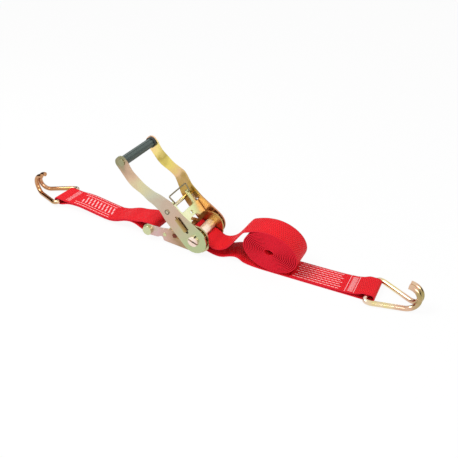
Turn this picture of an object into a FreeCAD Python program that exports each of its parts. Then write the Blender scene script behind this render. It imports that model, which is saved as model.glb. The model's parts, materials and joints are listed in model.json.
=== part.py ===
import FreeCAD, Part
import math
import os
import Sketcher

# Two inch ratchet strap: a ratchet buckle with its handle half raised, a short sewn strap on the
# end bolt, a long strap through the split mandrel with its spare length rolled up, and a double J
# wire hook in the loop at each end. Millimetres, +Z up, the long way of the strap along X.
# The origin is on the ground under the middle of the whole thing.

doc = FreeCAD.newDocument("RatchetStrap")
sheet = doc.addObject("Spreadsheet::Sheet", "dims")
V = FreeCAD.Vector

sizes = [
    ("webWidth", 50.0, "webbing width"),
    ("webThick", 2.3, "webbing thickness"),
    ("plyGap", 0.1, "space between two sewn plies"),
    ("softGap", 0.35, "space round soft pieces"),
    ("mandrelX", 9.6, "mandrel axis from the origin"),
    ("mandrelZ", 30.5, "mandrel axis above the ground"),
    ("mandrelRadius", 10.0, "split mandrel outside radius"),
    ("mandrelProud", 3.6, "mandrel end beyond the handle plate"),
    ("slotGap", 3.8, "slot between the mandrel halves"),
    ("slotAngle", 20.7, "slope of the slot at rest, degrees"),
    ("pinRadius", 1.5, "spring pin radius"),
    ("pinLength", 22.0, "spring pin length"),
    ("runFit", 0.08, "radial clearance of turning fits"),
    ("sideGap", 0.5, "gap beside a turning plate"),
    ("frameInside", 53.0, "clear width between the frame plates"),
    ("plateThick", 3.2, "frame and handle plate thickness"),
    ("frameReach", 103.9, "mandrel axis to end bolt axis"),
    ("frameDroop", 5.6, "slope of the frame at rest, degrees"),
    ("frameNose", 26.0, "frame plate radius round the mandrel"),
    ("frameTail", 11.0, "frame plate radius round the end bolt"),
    ("frameLug", 30.3, "depth of the frame foot under the mandrel"),
    ("frameTop", 2.4, "height of the frame spine over the mandrel axis"),
    ("wheelThick", 5.0, "ratchet wheel thickness"),
    ("wheelTip", 24.5, "ratchet wheel tip radius"),
    ("wheelRoot", 19.0, "ratchet wheel root radius"),
    ("wheelTeeth", 12, "teeth of one wheel"),
    ("gapAngle", 16.5, "root gap between two teeth, degrees"),
    ("landAngle", 4.0, "tip land of a tooth, degrees"),
    ("pawlThick", 4.2, "pawl plate thickness"),
    ("pawlFit", 0.8, "clearance of a pawl in its slots"),
    ("pawlLift", 0.35, "pawl nose above the tooth tips, as it rides over them"),
    ("pawlTravel", 6.0, "pawl stroke"),
    ("drivePawlAngle", 5.5, "drive pawl line from the handle line, degrees"),
    ("lockPawlTurn", 60.0, "lock pawl line from the drive pawl line, degrees"),
    ("lockPawlBack", 44.0, "back edge of the lock pawl from the mandrel axis"),
    ("lockTongue", 13.0, "length of the lock pawl spring tongue"),
    ("bridgeReach", 68.0, "spring bridge bar from the mandrel axis"),
    ("bridgeRadius", 3.0, "spring bridge bar radius"),
    ("drivePawlBack", 51.0, "shoulder of the drive pawl from the mandrel axis"),
    ("drivePawlTop", 79.0, "top of the drive pawl arms"),
    ("springTab", 67.0, "handle spring tab from the mandrel axis"),
    ("springRadius", 2.9, "pawl spring mean radius"),
    ("springWire", 0.9, "pawl spring wire diameter"),
    ("springTurns", 6, "turns of a pawl spring"),
    ("handleAngle", 135.0, "handle line from the strap line at rest, degrees"),
    ("handleNose", 25.5, "handle plate radius round the mandrel"),
    ("handleReach", 187.5, "mandrel axis to grip axis"),
    ("handleEnd", 11.5, "handle plate radius round the grip"),
    ("handleFlare", 11.3, "outward step of the handle arms"),
    ("flareStart", 80.0, "start of the step from the mandrel axis"),
    ("flareEnd", 110.0, "end of the step from the mandrel axis"),
    ("gripRadius", 8.6, "grip sleeve radius"),
    ("gripRod", 5.0, "grip rod radius"),
    ("gripCollar", 10.0, "grip collar radius"),
    ("gripCollarLength", 6.0, "grip collar length"),
    ("gripGroove", 1.2, "depth of the grooves along the grip"),
    ("stayReach", 70.0, "handle stay bar from the mandrel axis"),
    ("stayDrop", 3.3, "handle stay bar below the handle line"),
    ("stayRadius", 3.2, "handle stay bar radius"),
    ("rivetHead", 5.0, "rivet head radius"),
    ("rivetThick", 1.3, "rivet head thickness"),
    ("pullWire", 2.6, "release wire diameter"),
    ("pullHalf", 29.0, "half the width of the release wire crossbar"),
    ("pullReach", 90.0, "release wire from the mandrel axis"),
    ("boltRadius", 5.0, "end bolt radius"),
    ("boltHead", 9.2, "end bolt head radius"),
    ("boltHeadThick", 5.5, "end bolt head thickness"),
    ("nutAcross", 16.0, "nut size across flats"),
    ("nutThick", 8.0, "nut thickness"),
    ("sleeveRadius", 6.6, "spacer sleeve radius"),
    ("hookWire", 9.0, "hook wire diameter"),
    ("hookHalf", 33.0, "half the hook width at the back bar, wire centre"),
    ("hookReach", 59.5, "back bar to the middle of the J"),
    ("hookCurl", 19.3, "J centre line radius"),
    ("hookTip", 1.5, "straight tip after the J"),
    ("hookPair", 4.9, "half the distance between the two wires"),
    ("hookBend", 5.5, "bend radius at the back bar"),
    ("hookFoot", 6.0, "half the distance between the two wires at the front of the J"),
    ("hookRound", 14.0, "bend radius where the arms start to close in"),
    ("hookShoulder", 10.0, "straight shoulder before the arms close in"),
    ("rightBar", 327.1, "right hook bar from the origin"),
    ("rightBarRise", 7.35, "right hook bar above the ground"),
    ("rightYaw", -6.0, "right hook turned sideways in its loop, degrees"),
    ("rightPitch", 2.6, "right hook slope at rest, degrees"),
    ("rightShift", -2.0, "right hook moved along its own bar"),
    ("leftBar", -233.0, "left hook bar from the end bolt along the short strap"),
    ("leftBarRise", 11.0, "left hook bar above the ground"),
    ("leftYaw", 0.5, "left hook turned sideways in its loop, degrees"),
    ("leftPitch", 6.0, "left hook slope at rest, degrees"),
    ("leftShift", -2.5, "left hook moved along its own bar"),
    ("strapYaw", 3.3, "short strap turned sideways on its bolt, degrees"),
    ("loopPlay", 4.3, "play of a hook bar along its loop"),
    ("coilX", 151.1, "middle of the roll from the origin"),
    ("coilLong", 51.0, "long half axis of the roll"),
    ("coilShort", 36.3, "short half axis of the roll"),
    ("coilTilt", 12.0, "lean of the roll, degrees"),
    ("coilEye", 9.0, "half length of the eye of the roll"),
    ("coilEyeHigh", 2.6, "half height of the eye of the roll"),
    ("flapEnd", 190.1, "end of the sewn flap from the origin"),
]
d = {}
for row, (name, value, note) in enumerate(sizes, start=1):
    sheet.set("A%d" % row, note)
    sheet.set("B%d" % row, str(value))
    sheet.setAlias("B%d" % row, name)
    d[name] = value
doc.recompute()

# Places that follow from the sizes, measured out from the middle plane of the buckle.
frameMid = d["frameInside"] / 2 + d["plateThick"] / 2
frameOut = d["frameInside"] / 2 + d["plateThick"]
wheelIn = frameOut + d["sideGap"]
wheelOut = wheelIn + d["wheelThick"]
handleIn = wheelOut + d["sideGap"]
handleOut = handleIn + d["plateThick"]
gripIn = handleIn + d["handleFlare"]
gripOut = handleOut + d["handleFlare"]
mandrelEnd = handleOut + d["mandrelProud"]
drivePawlAngle = d["handleAngle"] - d["drivePawlAngle"]
lockPawlAngle = drivePawlAngle + d["lockPawlTurn"]
noseRadius = d["wheelTip"] + d["pawlLift"]
slotStart = d["wheelRoot"] - d["pawlThick"] / 2
boltX = d["mandrelX"] - d["frameReach"] * math.cos(math.radians(d["frameDroop"]))
boltZ = d["mandrelZ"] - d["frameReach"] * math.sin(math.radians(d["frameDroop"]))
loopRadius = d["hookWire"] / 2 + d["softGap"] + d["webThick"] / 2


def polar(radius, degrees):
    a = math.radians(degrees)
    return (radius * math.cos(a), radius * math.sin(a))


def rounded(points, radii, closed=True):
    """Lines and tangent arcs along a polygon; an arc that finds no room on its sides is reduced."""
    count = len(points)
    at = [V(x, y, 0) for x, y in points]
    half = []
    back = []
    for i in range(count):
        a = (at[i - 1] - at[i]).normalize()
        b = (at[(i + 1) % count] - at[i]).normalize()
        straight = (a + b).Length < 1e-3
        openEnd = not closed and i in (0, count - 1)
        half.append(a.getAngle(b) / 2)
        back.append(0.0 if straight or openEnd else max(radii[i], 0.0) / math.tan(half[i]))
    room = [1.0] * count
    for i in range(count):
        k = (i + 1) % count
        side = (at[k] - at[i]).Length
        if back[i] + back[k] > side:
            share = 0.999 * side / (back[i] + back[k])
            room[i] = min(room[i], share)
            room[k] = min(room[k], share)
    shapes = []
    starts = []
    ends = []
    arcs = []
    for i in range(count):
        a = (at[i - 1] - at[i]).normalize()
        b = (at[(i + 1) % count] - at[i]).normalize()
        reach = back[i] * room[i]
        starts.append(at[i] + a * reach)
        ends.append(at[i] + b * reach)
        if reach < 1e-6:
            arcs.append(None)
            continue
        r = reach * math.tan(half[i])
        middle = (a + b).normalize()
        centre = at[i] + middle * (r / math.sin(half[i]))
        arcs.append(Part.Arc(starts[-1], centre - middle * r, ends[-1]))
    for i in range(count):
        if arcs[i]:
            shapes.append(arcs[i])
        if i == count - 1 and not closed:
            break
        nxt = starts[(i + 1) % count]
        if (nxt - ends[i]).Length > 1e-5:
            shapes.append(Part.LineSegment(ends[i], nxt))
    return shapes


def ribbon(points, radii, thick):
    """Outline of a band of one thickness along a path."""
    left = []
    right = []
    leftRadii = []
    rightRadii = []
    last = len(points) - 1
    half = thick / 2
    for i, p in enumerate(points):
        before = V(*points[max(i - 1, 0)], 0)
        after = V(*points[min(i + 1, last)], 0)
        here = V(p[0], p[1], 0)
        u = (here - before) if i else (after - here)
        w = (after - here) if i < last else (here - before)
        u.normalize()
        w.normalize()
        n0 = V(-u.y, u.x, 0)
        n1 = V(-w.y, w.x, 0)
        mitre = (n0 + n1) * (half / (1 + n0.dot(n1)))
        left.append((here.x + mitre.x, here.y + mitre.y))
        right.append((here.x - mitre.x, here.y - mitre.y))
        turn = u.x * w.y - u.y * w.x
        r = radii[i]
        sharp = 0 if i in (0, last) or r <= 0 else 1
        leftRadii.append(sharp * (r - half if turn > 0 else r + half))
        rightRadii.append(sharp * (r + half if turn > 0 else r - half))
    return rounded(left + right[::-1], leftRadii + rightRadii[::-1])


def easy(points, share=0.45):
    """Bend radii as large as the neighbouring runs allow."""
    radii = [0.0]
    for a, b, c in zip(points, points[1:], points[2:]):
        u = V(b[0] - a[0], b[1] - a[1], 0)
        w = V(c[0] - b[0], c[1] - b[1], 0)
        turn = u.getAngle(w)
        radii.append(share * min(u.Length, w.Length) / math.tan(max(turn, 0.02) / 2))
    radii.append(0.0)
    return radii


def shifted(points, offset):
    """A path beside another one, on its left side for a positive offset."""
    moved = []
    last = len(points) - 1
    for i, p in enumerate(points):
        here = V(p[0], p[1], 0)
        u = here - V(*points[i - 1], 0) if i else V(*points[1], 0) - here
        w = V(*points[i + 1], 0) - here if i < last else u
        u.normalize()
        w = V(w.x, w.y, 0).normalize()
        n0 = V(-u.y, u.x, 0)
        n1 = V(-w.y, w.x, 0)
        mitre = (n0 + n1) * (offset / (1 + n0.dot(n1)))
        moved.append((here.x + mitre.x, here.y + mitre.y))
    return moved


def newBody(label):
    body = doc.addObject("PartDesign::Body", label)
    body.Label = label
    return body


def newSketch(body, plane, name, shapes):
    sketch = body.newObject("Sketcher::SketchObject", name)
    origin = [o for o in body.Origin.OriginFeatures if o.Role == plane + "_Plane"][0]
    sketch.AttachmentSupport = [(origin, "")]
    sketch.MapMode = "FlatFace"
    for shape in shapes:
        index = sketch.addGeometry(shape, False)
        sketch.addConstraint(Sketcher.Constraint("Block", index))
    sketch.Visibility = False
    return sketch


def circle(x, y, radius):
    return [Part.Circle(V(x, y, 0), V(0, 0, 1), radius)]


def box2(x0, y0, x1, y1, radius=0.0):
    return rounded([(x0, y0), (x1, y0), (x1, y1), (x0, y1)], [radius] * 4)


def slot2(start, end, angle, width):
    """A long hole with round ends along a line through the origin."""
    a = V(*polar(start + width / 2, angle), 0)
    b = V(*polar(end - width / 2, angle), 0)
    n = V(-math.sin(math.radians(angle)), math.cos(math.radians(angle)), 0) * (width / 2)
    along = V(*polar(1, angle), 0) * (width / 2)
    return [
        Part.LineSegment(a + n, b + n),
        Part.Arc(b + n, b + along, b - n),
        Part.LineSegment(b - n, a - n),
        Part.Arc(a - n, a - along, a + n),
    ]


def pad(body, plane, name, shapes, length, solidBoth=True):
    sketch = newSketch(body, plane, name + "Sketch", shapes)
    feature = body.newObject("PartDesign::Pad", name)
    feature.Profile = sketch
    feature.SideType = "Symmetric" if solidBoth else "One side"
    bind(feature, "Length", length)
    doc.recompute()
    return feature


def pocket(body, plane, name, shapes):
    doc.recompute()
    before = body.Shape.Volume
    sketch = newSketch(body, plane, name + "Sketch", shapes)
    feature = body.newObject("PartDesign::Pocket", name)
    feature.Profile = sketch
    feature.Type = "ThroughAll"
    feature.SideType = "Symmetric"
    doc.recompute()
    if body.Shape.Volume > before - 1e-3:
        raise ValueError(body.Label + " " + name + " removed nothing")
    return feature


def bind(obj, prop, value):
    if isinstance(value, str):
        obj.setExpression(prop, value)
    else:
        setattr(obj, prop, value)


parts = []


def finish(obj, x="0", y="0", z="0", angle="0", axis=(0, 1, 0)):
    """Placement of a finished sub-part, bound to the sheet."""
    obj.Placement = FreeCAD.Placement(V(0, 0, 0), FreeCAD.Rotation(V(*axis), 1))
    obj.setExpression("Placement.Base.x", x)
    obj.setExpression("Placement.Base.y", y)
    obj.setExpression("Placement.Base.z", z)
    obj.setExpression("Placement.Rotation.Angle", angle)
    parts.append(obj)
    return obj


onMandrel = {"x": "dims.mandrelX", "z": "dims.mandrelZ"}
frameY = "(dims.frameInside + dims.plateThick) / 2"
wheelY = "dims.frameInside / 2 + dims.plateThick + dims.sideGap + dims.wheelThick / 2"
bolt = (boltX - d["mandrelX"], boltZ - d["mandrelZ"])
bridge = polar(d["bridgeReach"], lockPawlAngle)


def framePlate(label, side):
    """One cheek of the buckle: round nose, low foot, narrow neck and a round tail."""
    nose = d["frameNose"]
    tail = d["frameTail"]
    top = d["frameTop"]
    foot = -d["frameLug"]
    bx, bz = bolt
    outline = [
        (nose, nose), (nose, -nose * 0.6), (nose * 0.45, foot + 2.5), (-18, foot),
        (bx + 33.5, foot + 5.2), (bx + 31, bz - 5), (bx + 20, bz - tail + 0.6), (bx - tail, bz - tail),
        (bx - tail, bz + tail), (bx + 24, bz + tail - 1.0), (bx + 44, top), (-nose, top),
        (-nose, nose),
    ]
    radii = [nose, 12, 14, 12, 3, 4, 6, tail * 0.98, tail * 0.98, 14, 12, 0, nose - top]
    body = newBody(label)
    pad(body, "XZ", label + "Blank", rounded(outline, radii), "dims.plateThick")
    holes = circle(0, 0, d["mandrelRadius"] + d["runFit"])
    holes += circle(bx, bz, d["boltRadius"] + d["runFit"])
    holes += circle(bridge[0], bridge[1], d["bridgeRadius"])
    holes += slot2(slotStart, d["lockPawlBack"] + d["pawlTravel"] + 1.0, lockPawlAngle,
                   d["pawlThick"] + 2 * d["pawlFit"])
    pocket(body, "XZ", label + "Holes", holes)
    return finish(body, y=("-" if side < 0 else "") + "(" + frameY + ")", **onMandrel)


framePlate("frame_plate_near", -1)
framePlate("frame_plate_far", 1)


def turned(label, y0, y1, radius, bore=0.0, heads=()):
    """A round bar or sleeve across the buckle, with optional heads at its ends."""
    body = newBody(label)
    profile = [(bore, y0), (radius, y0), (radius, y1), (bore, y1)]
    for inner, outer, big in heads:
        if inner < 0:
            profile = [(bore, outer), (big, outer), (big, inner)] + profile[1:]
            profile[3] = (radius, inner)
        else:
            profile = profile[:-2] + [(radius, inner), (big, inner), (big, outer), (bore, outer)]
    shapes = rounded(profile, [0] * len(profile))
    sketch = newSketch(body, "XY", label + "Profile", shapes)
    spin = body.newObject("PartDesign::Revolution", label + "Turn")
    spin.Profile = sketch
    spin.ReferenceAxis = (sketch, ["V_Axis"])
    spin.Angle = 360
    doc.recompute()
    return body


def placedAt(body, at):
    body.Placement = FreeCAD.Placement(V(at[0], 0, at[1]), FreeCAD.Rotation())
    parts.append(body)
    return body


boltAt = (boltX, boltZ)
inside = d["frameInside"] / 2
placedAt(turned("end_bolt", -frameOut, frameOut + d["nutThick"] + 2.0, d["boltRadius"],
                heads=[(-frameOut, -frameOut - d["boltHeadThick"], d["boltHead"])]), boltAt)
placedAt(turned("end_sleeve", -inside, inside, d["sleeveRadius"],
                d["boltRadius"] + d["runFit"]), boltAt)
placedAt(turned("spring_bridge", -frameOut, frameOut, d["bridgeRadius"],
                heads=[(-frameOut, -frameOut - 0.4, d["bridgeRadius"] + 0.8),
                       (frameOut, frameOut + 0.4, d["bridgeRadius"] + 0.8)]),
         (d["mandrelX"] + bridge[0], d["mandrelZ"] + bridge[1]))

nut = newBody("end_nut")
corner = d["nutAcross"] / 2 / math.cos(math.radians(30))
hexagon = rounded([polar(corner, 60 * k + 12) for k in range(6)], [0] * 6)
pad(nut, "XZ", "NutBlank", hexagon + circle(0, 0, d["boltRadius"]), "dims.nutThick")
nut.Placement = FreeCAD.Placement(V(boltX, 0, boltZ), FreeCAD.Rotation())
nut.setExpression("Placement.Base.y", "dims.frameInside / 2 + dims.plateThick + dims.nutThick / 2")
parts.append(nut)


def halfMoon(sign, grow):
    """Half-round section beside the mandrel slot."""
    r = d["mandrelRadius"] + grow
    flat = d["slotGap"] / 2 - grow
    reach = math.sqrt(r * r - flat * flat)
    return [
        Part.LineSegment(V(-reach, sign * flat, 0), V(reach, sign * flat, 0)),
        Part.Arc(V(reach, sign * flat, 0), V(0, sign * r, 0), V(-reach, sign * flat, 0)),
    ]


pinY = handleOut + d["pinRadius"] + d["runFit"] * 2


def mandrelHalf(label, sign):
    body = newBody(label)
    pad(body, "XZ", label + "Bar", halfMoon(sign, 0), 2 * mandrelEnd)
    holes = circle(0, pinY, d["pinRadius"] + 0.02) + circle(0, -pinY, d["pinRadius"] + 0.02)
    pocket(body, "XY", label + "PinHoles", holes)
    return finish(body, angle="dims.slotAngle", **onMandrel)


mandrelHalf("mandrel_half_upper", 1)
mandrelHalf("mandrel_half_lower", -1)


def springPin(name, y):
    """One rolled pin: a tube across both mandrel halves."""
    outer = doc.addObject("Part::Cylinder", name + "Outer")
    outer.setExpression("Radius", "dims.pinRadius")
    outer.setExpression("Height", "dims.pinLength")
    inner = doc.addObject("Part::Cylinder", name + "Bore")
    inner.setExpression("Radius", "dims.pinRadius / 2")
    inner.setExpression("Height", "dims.pinLength")
    tube = doc.addObject("Part::Cut", name)
    tube.Base = outer
    tube.Tool = inner
    tube.Placement = FreeCAD.Placement(V(0, y, -d["pinLength"] / 2), FreeCAD.Rotation())
    return tube


pins = doc.addObject("Part::Compound", "spring_pins")
pins.Label = "spring_pins"
pins.Links = [springPin("PinNear", -pinY), springPin("PinFar", pinY)]
finish(pins, angle="dims.slotAngle", **onMandrel)


def toothShapes():
    """One saw tooth: a radial drive face, a short land and a long sloping back."""
    pitch = 360.0 / d["wheelTeeth"]
    face = drivePawlAngle - d["gapAngle"] / 2
    land = face - d["landAngle"]
    back = face - (pitch - d["gapAngle"])
    r0 = d["wheelRoot"] - 1.0
    points = [polar(r0, face), polar(d["wheelTip"], face), polar(d["wheelTip"], land),
              polar(d["wheelRoot"], back), polar(r0, back)]
    return rounded(points, [0, 0.5, 0.5, 0, 0])


def ratchetWheel(label, side):
    """Ratchet wheel whose middle bar fills the slot between the mandrel halves."""
    body = newBody(label)
    pad(body, "XZ", label + "Disc", circle(0, 0, d["wheelRoot"]), "dims.wheelThick")
    tooth = pad(body, "XZ", label + "Tooth", toothShapes(), "dims.wheelThick")
    ring = body.newObject("PartDesign::PolarPattern", label + "Teeth")
    ring.Originals = [tooth]
    axis = [o for o in body.Origin.OriginFeatures if o.Role == "Y_Axis"][0]
    ring.Axis = (axis, [""])
    ring.Angle = 360
    ring.setExpression("Occurrences", "dims.wheelTeeth")
    body.Tip = ring
    doc.recompute()
    holes = []
    for sign in (1, -1):
        for shape in halfMoon(sign, 0.02):
            shape.rotate(FreeCAD.Placement(V(0, 0, 0), FreeCAD.Rotation(V(0, 0, 1),
                                                                      -d["slotAngle"])))
            holes.append(shape)
    pocket(body, "XZ", label + "Keyway", holes)
    return finish(body, y=("-" if side < 0 else "") + "(" + wheelY + ")", **onMandrel)


ratchetWheel("ratchet_wheel_near", -1)
ratchetWheel("ratchet_wheel_far", 1)


def lockPawl(label):
    """Plate through both frame slots: noses at the wheels, a spring tongue behind."""
    nose = noseRadius
    back = d["lockPawlBack"]
    wide = wheelOut - 0.1
    clear = inside - 0.6
    half = [(nose, wide), (nose, clear), (nose + 3.2, clear - 4), (nose + 3.2, -clear + 4), (nose, -clear),
            (nose, -wide), (back - 5, -wide), (back - 5, -clear + 2), (back, -clear + 8),
            (back, -1.2), (back + d["lockTongue"], -1.2), (back + d["lockTongue"], 1.2),
            (back, 1.2), (back, clear - 8), (back - 5, clear - 2), (back - 5, wide)]
    radii = [0.6, 0.6, 3, 3, 0.6, 0.6, 1.5, 1, 2, 0, 0.8, 0.8, 0, 2, 1, 1.5]
    body = newBody(label)
    pad(body, "XY", label + "Plate", rounded(half, radii), "dims.pawlThick")
    return finish(body, angle="-(dims.handleAngle - dims.drivePawlAngle + dims.lockPawlTurn)",
                  **onMandrel)


lockPawl("lock_pawl")


def drivePawl(label):
    """Plate between the handle arms: noses at the wheels, ears in the handle slots, two arms."""
    nose = noseRadius
    back = d["drivePawlBack"]
    ear = handleOut - 0.4
    wide = handleIn - 0.4
    clear = d["frameNose"] + 1.3
    armOut = inside + 1.8
    armIn = inside - 3.8
    top = d["drivePawlTop"]
    edge = frameOut + 0.2
    half = [(nose, wide), (nose, edge), (clear, edge), (clear, 15), (clear + 7, 11),
            (clear + 7, -11), (clear, -15), (clear, -edge), (nose, -edge),
            (nose, -wide), (nose + 1.6, -wide), (nose + 1.6, -ear), (back - 5, -ear),
            (back - 5, -wide), (back, -wide), (back, -armOut), (top, -armOut),
            (top, -armIn), (back + 4, -armIn), (back, -armIn + 4), (back, armIn - 4),
            (back + 4, armIn), (top, armIn), (top, armOut), (back, armOut),
            (back, wide), (back - 5, wide), (back - 5, ear), (nose + 1.6, ear), (nose + 1.6, wide)]
    radii = [0.6, 0.6, 0.6, 3, 4, 4, 3, 0.6, 0.6, 0.6, 0, 0.6, 0.6, 0, 0.6, 0.6, 2.7, 2.7, 3, 3, 3,
             3, 2.7, 2.7, 0.6, 0.6, 0, 0.6, 0.6, 0]
    body = newBody(label)
    pad(body, "XY", label + "Plate", rounded(half, radii), "dims.pawlThick")
    foot = (armOut + armIn) / 2
    holes = circle(top - 5, foot, d["pullWire"] / 2) + circle(top - 5, -foot, d["pullWire"] / 2)
    pocket(body, "XY", label + "WireHoles", holes)
    window = rounded([(38.5, -2.5), (45, -2.5), (45, 5), (38.5, 5)], [0, 3.2, 3.2, 0])
    pocket(body, "XY", label + "TabWindow", window)
    return finish(body, angle="-(dims.handleAngle - dims.drivePawlAngle)", **onMandrel)


drivePawl("drive_pawl")


def spring(start, end, y, angle):
    """Close wound pawl spring: a tube with a ridge for each turn."""
    bore = d["springRadius"] - d["springWire"] / 2
    crest = d["springRadius"] + d["springWire"] / 2
    pitch = (end - start) / d["springTurns"]
    points = [V(start, bore, 0)]
    for k in range(int(d["springTurns"])):
        points.append(V(start + k * pitch, d["springRadius"], 0))
        points.append(V(start + (k + 0.25) * pitch, crest, 0))
        points.append(V(start + (k + 0.75) * pitch, crest, 0))
    points += [V(end, d["springRadius"], 0), V(end, bore, 0)]
    face = Part.Face(Part.makePolygon(points + points[:1]))
    coil = face.revolve(V(0, 0, 0), V(1, 0, 0), 360)
    coil.translate(V(0, y, 0))
    coil.rotate(V(0, 0, 0), V(0, 1, 0), -angle)
    coil.translate(V(d["mandrelX"], 0, d["mandrelZ"]))
    return coil


def fixedShape(label, shape):
    obj = doc.addObject("Part::Feature", label)
    obj.Label = label
    obj.Shape = shape
    parts.append(obj)
    return obj


springY = handleIn - d["springRadius"] - d["springWire"] / 2 - 0.2
fixedShape("lock_spring", spring(d["lockPawlBack"] + 0.05,
                                 d["bridgeReach"] - d["bridgeRadius"] - 0.1, 0, lockPawlAngle))
driveSprings = [spring(d["drivePawlBack"] + 0.05, d["springTab"] - 0.05, y, drivePawlAngle)
                for y in (-springY, springY)]
fixedShape("drive_springs", Part.makeCompound(driveSprings))

handlePlace = {"x": "dims.mandrelX", "z": "dims.mandrelZ", "angle": "-dims.handleAngle"}


def handlePlate(label, side):
    """Handle arm: a strip stepped outward along its length, trimmed to the side outline."""
    nose = d["handleNose"]
    reach = d["handleReach"]
    end = d["handleEnd"]
    mid = handleIn + d["plateThick"] / 2
    out = mid + d["handleFlare"]
    path = [(-nose - 3, mid), (d["flareStart"], mid), (d["flareEnd"], out), (reach + end + 3, out)]
    strip = [(x, side * y) for x, y in path]
    body = newBody(label)
    pad(body, "XY", label + "Strip", ribbon(strip, [0, 22, 22, 0], d["plateThick"]), 3 * nose)
    # Side outline: x runs along the handle and the second number towards its palm side.
    outline = [(-nose, -nose), (nose / 4, -nose), (reach * 0.27, -nose * 0.69),
               (reach * 0.55, -nose * 0.63), (reach * 0.7, -nose * 0.26), (reach * 0.88, -nose * 0.18),
               (reach * 0.97, -end + 1.5), (reach + end, -end + 1), (reach + end, end + 1),
               (reach, end + 2.5), (reach * 0.79, nose * 0.78), (reach * 0.63, nose * 0.42),
               (reach * 0.51, nose * 0.49), (reach * 0.31, nose * 0.83), (nose / 4, nose * 0.97),
               (-nose, nose)]
    radii = [nose * 0.98, 40, 60, 40, 60, 40, 20, end * 0.9, end * 0.9, 30, 50, 60, 60, 60, 30,
             nose * 0.98]
    frameLine = box2(-nose - 20, -3 * nose, reach + 3 * end, 3 * nose)
    pocket(body, "XZ", label + "Trim", frameLine + rounded(outline, radii))
    holes = circle(0, 0, d["mandrelRadius"] + d["runFit"])
    holes += circle(reach, 0, d["gripRod"])
    holes += circle(d["stayReach"], d["stayDrop"], d["stayRadius"])
    holes += slot2(slotStart, d["drivePawlBack"] - 5 + d["pawlTravel"] + d["pawlThick"] * 0.65,
                   -d["drivePawlAngle"],
                   d["pawlThick"] + 2 * d["pawlFit"])
    pocket(body, "XZ", label + "Holes", holes)
    return body


def springTabs(body, label, side):
    """Lanced tab turned in from the arm, the seat of a pawl spring."""
    a = -d["drivePawlAngle"]
    y0 = side * (wheelIn - 1.6)
    y1 = side * (handleIn + 0.5)
    start = V(*polar(d["springTab"], a), 0)
    along = V(*polar(1, a), 0)
    across = V(-along.y, along.x, 0)
    corners = [start - across * 4.5, start + along * 2.4 - across * 4.5,
               start + along * 2.4 + across * 4.5, start + across * 4.5]
    sketch = newSketch(body, "XZ", label + "TabSketch",
                       rounded([(c.x, c.y) for c in corners], [0.5] * 4))
    sketch.AttachmentOffset = FreeCAD.Placement(V(0, 0, -(y0 + y1) / 2), FreeCAD.Rotation())
    tab = body.newObject("PartDesign::Pad", label + "Tab")
    tab.Profile = sketch
    tab.SideType = "Symmetric"
    tab.Length = abs(y1 - y0)
    doc.recompute()
    return finish(body, **handlePlace)


springTabs(handlePlate("handle_plate_near", -1), "NearTab", -1)
springTabs(handlePlate("handle_plate_far", 1), "FarTab", 1)

stay = turned("handle_stay", -handleOut, handleOut, d["stayRadius"],
              heads=[(-handleOut, -handleOut - d["rivetThick"], d["rivetHead"]),
                     (handleOut, handleOut + d["rivetThick"], d["rivetHead"])])
gripRod = turned("grip_rod", -gripOut, gripOut, d["gripRod"],
                 heads=[(-gripOut, -gripOut - d["rivetThick"], d["gripRod"] + 1.5),
                        (gripOut, gripOut + d["rivetThick"], d["gripRod"] + 1.5)])
sleeveEnd = gripIn - d["gripCollarLength"] - 0.3


def inHandle(body, u, v):
    """Place a bar at a point of the handle: u along it, v above its line."""
    a = math.radians(d["handleAngle"])
    x = d["mandrelX"] + u * math.cos(a) + v * math.sin(a)
    z = d["mandrelZ"] + u * math.sin(a) - v * math.cos(a)
    turn = FreeCAD.Rotation(V(0, 1, 0), -d["handleAngle"])
    body.Placement = FreeCAD.Placement(V(x, 0, z), turn)
    parts.append(body)
    return body


inHandle(stay, d["stayReach"], -d["stayDrop"])
inHandle(gripRod, d["handleReach"], 0)

sleeve = newBody("grip_sleeve")
ringShape = circle(0, 0, d["gripRadius"]) + circle(0, 0, d["gripRod"] + 0.02)
gripSpan = gripIn - 0.3 + sleeveEnd
pad(sleeve, "XZ", "GripTube", ringShape, gripSpan)
for k in range(8):
    gx, gy = polar(d["gripRadius"] + 0.4, 45 * k + 22.5)
    pocket(sleeve, "XZ", "GripGroove%d" % k, circle(gx, gy, d["gripGroove"] + 0.4))
inHandle(sleeve, d["handleReach"], 0)
middle = sleeve.Placement
middle.Base = middle.Base + V(0, (sleeveEnd - gripIn + 0.3) / 2, 0)
sleeve.Placement = middle
inHandle(turned("grip_collar", sleeveEnd + 0.05, gripIn - 0.05, d["gripCollar"], d["gripRod"] + 0.02),
         d["handleReach"], 0)


def pipe(points, radii, wire):
    """Round wire along straight runs and tangent arcs in space."""
    edges = []
    at = V(*points[0])
    for a, b, c, r in zip(points, points[1:], points[2:], radii[1:]):
        p = V(*b)
        u = (V(*a) - p).normalize()
        w = (V(*c) - p).normalize()
        half = u.getAngle(w) / 2
        back = r / math.tan(half)
        mid = (u + w).normalize()
        centre = p + mid * (r / math.sin(half))
        p0 = p + u * back
        p1 = p + w * back
        if (p0 - at).Length > 1e-4:
            edges.append(Part.LineSegment(at, p0).toShape())
        edges.append(Part.Arc(p0, centre - mid * r, p1).toShape())
        at = p1
    if (V(*points[-1]) - at).Length > 1e-4:
        edges.append(Part.LineSegment(at, V(*points[-1])).toShape())
    path = Part.Wire(edges)
    heading = path.Edges[0].tangentAt(path.Edges[0].FirstParameter)
    ring = Part.Face(Part.Wire([Part.Circle(V(*points[0]), heading, wire / 2).toShape()]))
    return path.makePipe(ring)


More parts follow.
